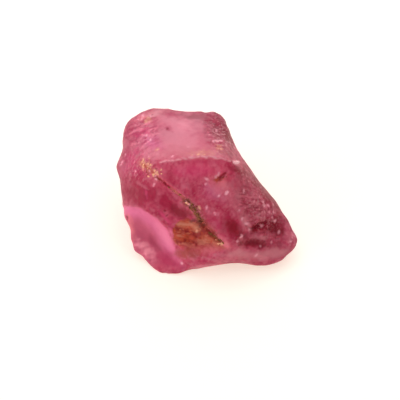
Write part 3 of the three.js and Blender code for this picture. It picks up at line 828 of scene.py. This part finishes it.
def add_lines(height, places, face, front):
    """The relief with its ledges, cracks and fine lines added."""
    strayed = face[:, :2] + wander(places)
    for line in LINES:
        gap = distance_to(line.points, strayed - line.shift) / line.width
        height += line.height * np.exp(-(gap**2)) * front
    here = inside(face, STRIAE.oval) * front
    height += STRIAE.height * here * streaks(face, *STRIA_LINES, here)
    return height


def carve(surface):
    """Gives the stone its outline and its relief."""
    shape_outline(surface)
    places, face, front = surface.places, surface.face, surface.front
    height = relief_all_over(places, 1 - front)
    height = add_rough_ground(height, places, face, front)
    height = add_lines(height, places, face, front)
    surface.raise_by(height)


def mix(looks, look, share):
    """Turns looks to one look by a share at each place."""
    return looks + share[:, None] * (np.array(look) - looks)


def paint_scoop_light_and_shade(looks, places, face, front):
    """Bands of painted light and painted shade that follow the scoop's edge."""
    depth = beyond(SCOOP_EDGE, face[:, :2]) + SCOOP_RAGGED * cloud(places, *SCOOP_NOISE)
    bands, levels = zip(*SCOOP_LIGHT_BANDS)
    look = np.column_stack([np.interp(depth, bands, level) for level in zip(*levels)])
    within = smooth(depth / SCOOP_SOFT) * smooth((face[:, 1] - SCOOP_LOW) / LOW_FADE) * front
    return mix(looks, look, within)


def paint_stain(looks, places, face, front):
    """Iron stain in a sharp ragged patch, with dark fibres along it."""
    inward = beyond(STAIN_EDGE, face[:, :2])
    near = (inward > -STAIN_STRAY) * front
    inward = inward + STAIN_RAGGED * cloud(places, *STAIN_NOISE, near)
    stained = smooth(inward / STAIN_SOFT + 0.5) * smooth((face[:, 1] - STAIN_LOW) / LOW_FADE) * front
    looks = mix(looks, RUST, stained)
    fibres = smooth(STREAK_CONTRAST * streaks(face, *FIBRES, near))
    looks = mix(looks, BRICK, FIBRE_SHARE * stained * fibres)
    pale = smooth(PALE_FIBRE_CONTRAST * streaks(face, *PALE_FIBRES, near))
    looks = mix(looks, SAND, PALE_FIBRE_SHARE * stained * pale)
    lumps = smooth(LUMP_CONTRAST * cloud(places, *STAIN_LUMPS, near))
    return mix(looks, BRICK, STAIN_LUMP_SHARE * stained * lumps)


def paint_flecks(looks, places, face, front):
    """Fine flecks strewn over parts of the show face."""
    for seed, flecks in enumerate(FLECKS):
        here = inside(face, flecks.oval) * front
        lumps = cloud(places, flecks.size, SOFT_LAYERS, FLECK_SEED + seed, here)
        strewn = smooth((lumps - FLECK_START) / FLECK_EDGE)
        looks = mix(looks, flecks.look, flecks.share * here * strewn)
    return looks


def paint_streaks(looks, face, here, lines, dark, pale):
    """Dark and pale streaks: a look for each, and its share."""
    height = STREAK_CONTRAST * streaks(face, *lines, here)
    for side, (look, share) in ((-height, dark), (height, pale)):
        looks = mix(looks, look, share * here * smooth(side))
    return looks


def paint_lines(looks, places, face, front):
    """Fine streaks at the right end and the upper left, and strokes along lines."""
    here = inside(face, STRIAE.oval) * front
    looks = paint_streaks(looks, face, here, STRIA_LINES, (MAUVE, 0.8), (FROST, 0.6))
    here = inside(face, BRUSHED) * front
    looks = paint_streaks(looks, face, here, BRUSH_LINES, (BERRY, 0.75), (PINK, 0.6))
    strayed = face[:, :2] + wander(places)
    patchy = smooth(STROKE_LEVEL + STROKE_CONTRAST * cloud(places, *STROKE_PATCHES))
    for stroke in STROKES:
        gap = distance_to(stroke.points, strayed) / stroke.width
        looks = mix(looks, stroke.look, stroke.share * patchy * np.exp(-(gap**2)) * front)
    return looks


def paint_spots(looks, spots, surface, chance):
    """Small spots, each drawn out in its own direction."""
    for at in spots.places:
        gap = np.hypot(*(surface.face[:, :2] - at).T)
        seat = surface.places[np.argmin(np.where(surface.front < 1, np.inf, gap))]
        away = surface.places - seat
        lean = np.array(Vector([chance.gauss(0, 1) for _ in range(3)]).normalized())
        away -= SPOT_STRETCH * np.outer(away @ lean, lean)
        width = spots.width * chance.uniform(*SPOT_WIDTHS)
        share = chance.uniform(*SPOT_SHARES)
        within = smooth(SPOT_EDGE - np.linalg.norm(away, axis=1) / width)
        looks = mix(looks, spots.look, share * within)
    return looks


def paint_back(looks, places, back):
    """Darker clouds, pale veils of healed cracks and small flecks, away from the show face."""
    clouds = smooth(LUMP_CONTRAST * cloud(places, *BACK_CLOUDS, back))
    looks = mix(looks, PLUM, CLOUD_SHARE * back * clouds)
    veils = np.exp(-((cloud(places, *VEILS, back) / VEIL_WIDTH) ** 2))
    looks = mix(looks, ROSE, VEIL_SHARE * back * veils)
    strewn = smooth((cloud(places, *BACK_FLECKS, back) - FLECK_START) / FLECK_EDGE)
    return mix(looks, PALE, BACK_FLECK_SHARE * back * strewn * smooth(1 - 2 * clouds))


def paint(surface):
    """Gives the stone its looks: the body's all over, and others on it in front and behind."""
    places, face, front = surface.places, surface.face, surface.front
    chance = random.Random(SPOT_SEED)
    looks = np.tile(BODY, (len(places), 1))
    for seed, (size, share) in enumerate(MOTTLE):
        lumps = cloud(places, size, SOFT_LAYERS, MOTTLE_SEED + seed)
        looks = mix(looks, PLUM, share * smooth(-MOTTLE_CONTRAST * lumps))
        looks = mix(looks, ROSE, share * smooth(MOTTLE_CONTRAST * lumps))
    looks = paint_scoop_light_and_shade(looks, places, face, front)
    for seed, patch in enumerate(PAINT):
        here = ragged(places, face, patch.oval, PATCH_SEED + seed) * front
        looks = mix(looks, patch.look, patch.share * here)
    looks = paint_stain(looks, places, face, front)
    looks = paint_flecks(looks, places, face, front)
    looks = paint_lines(looks, places, face, front)
    for spots in (DARK_SPOTS, GOLD_FLECK_AND_GLINT_SPOTS, GLINT_SPOTS):
        looks = paint_spots(looks, spots, surface, chance)
    looks = paint_back(looks, places, 1 - front)
    surface.store_colour("tint", looks[:, :3])
    surface.store("clear", 1 - looks[:, 3])


def read_from_mesh(tree, name, output, socket):
    """Feeds what is kept at each place of the mesh to a socket of the shader."""
    kept = tree.nodes.new("ShaderNodeAttribute")
    kept.attribute_name = name
    tree.links.new(kept.outputs[output], socket)


def add_fine_grain(tree, shader):
    """Relief too fine for the mesh."""
    place = tree.nodes.new("ShaderNodeTexCoord")
    grain = tree.nodes.new("ShaderNodeTexNoise")
    grain.inputs["Scale"].default_value = FINE_GRAIN / MM
    grain.inputs["Detail"].default_value = 3
    bump = tree.nodes.new("ShaderNodeBump")
    bump.inputs["Strength"].default_value = 1
    bump.inputs["Distance"].default_value = FINE_RELIEF * MM
    tree.links.new(place.outputs["Object"], grain.inputs["Vector"])
    tree.links.new(grain.outputs["Fac"], bump.inputs["Height"])
    tree.links.new(bump.outputs["Normal"], shader.inputs["Normal"])


def garnet_material():
    """A stone that is clear, or milky where it is painted so, and redder the deeper light goes."""
    material = bpy.data.materials.new("rhodolite")
    material.use_nodes = True
    tree = material.node_tree
    shader = tree.nodes["Principled BSDF"]
    read_from_mesh(tree, "tint", "Color", shader.inputs["Base Color"])
    read_from_mesh(tree, "clear", "Fac", shader.inputs["Transmission Weight"])
    shader.inputs["Roughness"].default_value = 0.48
    shader.inputs["IOR"].default_value = 1.76
    shader.inputs["Specular IOR Level"].default_value = 0.2
    shader.inputs["Specular Tint"].default_value = (1.0, 0.33, 0.46, 1)
    add_fine_grain(tree, shader)
    volume = tree.nodes.new("ShaderNodeVolumeAbsorption")
    volume.inputs["Color"].default_value = (0.82, 0.24, 0.42, 1)
    volume.inputs["Density"].default_value = 220
    tree.links.new(volume.outputs["Volume"], tree.nodes["Material Output"].inputs["Volume"])
    return material


def garnet_body():
    mesh = fine_copy(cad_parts["garnet"])
    surface = Surface(mesh)
    carve(surface)
    paint(surface)
    make_grains(surface)
    mesh.transform(Matrix.Scale(MM, 4))
    mesh.name = "garnet_body"
    mesh.materials.clear()
    mesh.materials.append(garnet_material())
    body = bpy.data.objects.new("garnet_body", mesh)
    bpy.context.collection.objects.link(body)
    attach(body, "root")
    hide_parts("garnet")


def dull_material(name, colour):
    material = bpy.data.materials.new(name)
    material.use_nodes = True
    shader = material.node_tree.nodes["Principled BSDF"]
    shader.inputs["Base Color"].default_value = (*colour, 1)
    shader.inputs["Roughness"].default_value = 0.5
    shader.inputs["Specular IOR Level"].default_value = 0.15
    return material


class Grains:
    """A piece made of small rough grains of one colour, seated on the stone's show face."""

    def __init__(self, name, ground):
        self.name = name
        self.ground = ground
        self.chance = random.Random(name)
        self.mesh = bmesh.new()

    def add(self, across, up, size):
        """Adds a grain at a place on the show face, lying flat on the stone."""
        above = Vector(MIDDLE + across * ACROSS + up * UP + CLEAR_OF_STONE * OUT)
        seat, normal, _, _ = self.ground.ray_cast(above, Vector(-OUT))
        lean = Vector([self.chance.gauss(0, 1) for _ in range(3)])
        side = normal.cross(lean).normalized()
        length = self.chance.uniform(*GRAIN_LENGTHS)
        axes = (side * size * length, normal.cross(side) * size, normal * GRAIN_HEIGHT * size)
        made = bmesh.ops.create_icosphere(self.mesh, subdivisions=1, radius=1)
        for vertex in made["verts"]:
            spot = sum((part * axis for part, axis in zip(vertex.co, axes)), Vector())
            vertex.co = seat + self.chance.uniform(*GRAIN_ROUGHNESS) * spot

    def add_crust(self, crust):
        for _ in range(crust.count):
            along = self.chance.random()
            ends = zip(crust.start, crust.end)
            across, up = (start + along * (end - start) for start, end in ends)
            stray = [self.chance.gauss(0, GRAIN_STRAY * crust.width) for _ in range(2)]
            self.add(across + stray[0], up + stray[1], self.chance.uniform(*GRAIN_SIZES))

    def finish(self, colour):
        mesh = bpy.data.meshes.new(self.name)
        self.mesh.to_mesh(mesh)
        self.mesh.free()
        mesh.transform(Matrix.Scale(MM, 4))
        mesh.materials.append(dull_material(self.name, colour))
        piece = bpy.data.objects.new(self.name, mesh)
        bpy.context.collection.objects.link(piece)
        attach(piece, "root")


def make_grains(surface):
    """Makes a piece of each colour of crust, seated on the carved stone."""
    corners = [list(face.vertices) for face in surface.mesh.polygons]
    ground = BVHTree.FromPolygons([Vector(place) for place in surface.places], corners)
    for name, colour in (("umber_crust", UMBER), ("olive_crust", OLIVE), ("ochre_crust", OCHRE)):
        grains = Grains(name, ground)
        for crust in CRUSTS:
            if crust.colour == colour:
                grains.add_crust(crust)
        grains.finish(colour)


def make_floor():
    bpy.ops.mesh.primitive_plane_add(size=FLOOR_SIZE, location=(0, 0, -FLOOR_GAP * MM))
    floor = bpy.context.object
    floor.name = "floor"
    material = bpy.data.materials.new("white_floor")
    material.use_nodes = True
    shader = material.node_tree.nodes["Principled BSDF"]
    shader.inputs["Base Color"].default_value = (0.6, 0.6, 0.6, 1)
    shader.inputs["Roughness"].default_value = 0.9
    shader.inputs["Emission Color"].default_value = (1.0, 0.9, 0.74, 1)
    shader.inputs["Emission Strength"].default_value = 0.63
    floor.data.materials.append(material)


def make_light(light):
    """A soft lamp that faces the stone."""
    turn = math.radians(light.azimuth)
    tilt = math.radians(light.elevation)
    towards = Vector((math.sin(turn) * math.cos(tilt), -math.cos(turn) * math.cos(tilt), math.sin(tilt)))
    lamp = bpy.data.lights.new(light.name, "AREA")
    lamp.shape = "SQUARE"
    lamp.size = light.size * MM
    lamp.energy = light.brightness * math.pi * lamp.size**2
    holder = bpy.data.objects.new(light.name, lamp)
    holder.location = towards * LIGHT_DISTANCE * MM
    holder.rotation_euler = towards.to_track_quat("Z", "Y").to_euler()
    bpy.context.collection.objects.link(holder)


def make_studio():
    make_floor()
    for light in LIGHTS:
        make_light(light)
    world = bpy.data.worlds.new("studio")
    world.use_nodes = True
    world.node_tree.nodes["Background"].inputs["Color"].default_value = (1, 1, 1, 1)
    world.node_tree.nodes["Background"].inputs["Strength"].default_value = WORLD_BRIGHTNESS
    bpy.context.scene.world = world
    bpy.context.scene.view_settings.view_transform = "Standard"


def make_camera():
    lens = bpy.data.cameras.new("camera")
    lens.lens = LENS
    lens.sensor_width = SENSOR
    lens.clip_start = 0.001
    camera = bpy.data.objects.new("camera", lens)
    target = MIDDLE - AIM_BELOW_MIDDLE * UP
    place = (target + CAMERA_DISTANCE * OUT) * MM
    axes = Matrix((ACROSS, UP, OUT)).transposed().to_4x4()
    camera.matrix_world = Matrix.Translation(Vector(place)) @ axes
    bpy.context.collection.objects.link(camera)
    bpy.context.scene.camera = camera


make_camera()
make_studio()
garnet_body()
